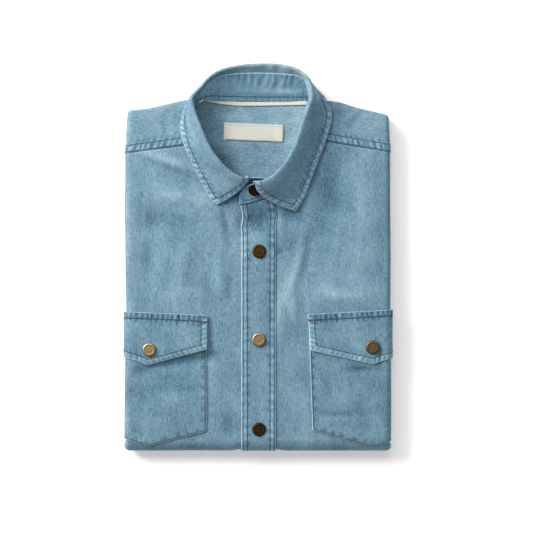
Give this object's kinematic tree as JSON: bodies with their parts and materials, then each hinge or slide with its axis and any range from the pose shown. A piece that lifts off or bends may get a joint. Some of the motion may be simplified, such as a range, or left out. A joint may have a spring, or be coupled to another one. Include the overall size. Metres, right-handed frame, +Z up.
{
  "type": "folded denim shirt",
  "caption": "Light blue denim snap-front shirt folded flat, with a standing point collar, flapped chest pockets, brass snaps, cream neck tape and a bare neck label.",
  "frame": {"origin": "middle of the footprint, on the surface the folded shirt rests on", "axes": "+X to the right of the shirt as it lies face up (the wearer's left), +Y towards the collar, +Z up out of the chest"},
  "size_m": [0.2702, 0.3873, 0.0423],
  "materials": {
    "denim": "light blue washed denim, matt, pale at edges and seams",
    "thread": "blue polyester sewing thread, slight sheen",
    "cream_tape": "cream herringbone cotton tape, matt",
    "cream_label": "cream woven label, bare, slight satin",
    "antique_brass": "antique, dark in the ring groove and bright on the rim"
  },
  "bodies": {
    "root": {"folded_layers": "denim", "front_right": "denim", "front_left": "denim", "yoke": "denim", "placket": "denim", "pocket_right": "denim", "pocket_left": "denim", "flap_right": "denim", "flap_left": "denim", "collar_stand": "denim", "collar_leaf": "denim", "neck_tape": "cream_tape", "neck_label": "cream_label", "snap_collar": "antique_brass", "snap_placket_top": "antique_brass", "snap_placket_middle": "antique_brass", "snap_placket_low": "antique_brass", "snap_flap_right": "antique_brass", "snap_flap_left": "antique_brass"}
  },
  "joints": []
}
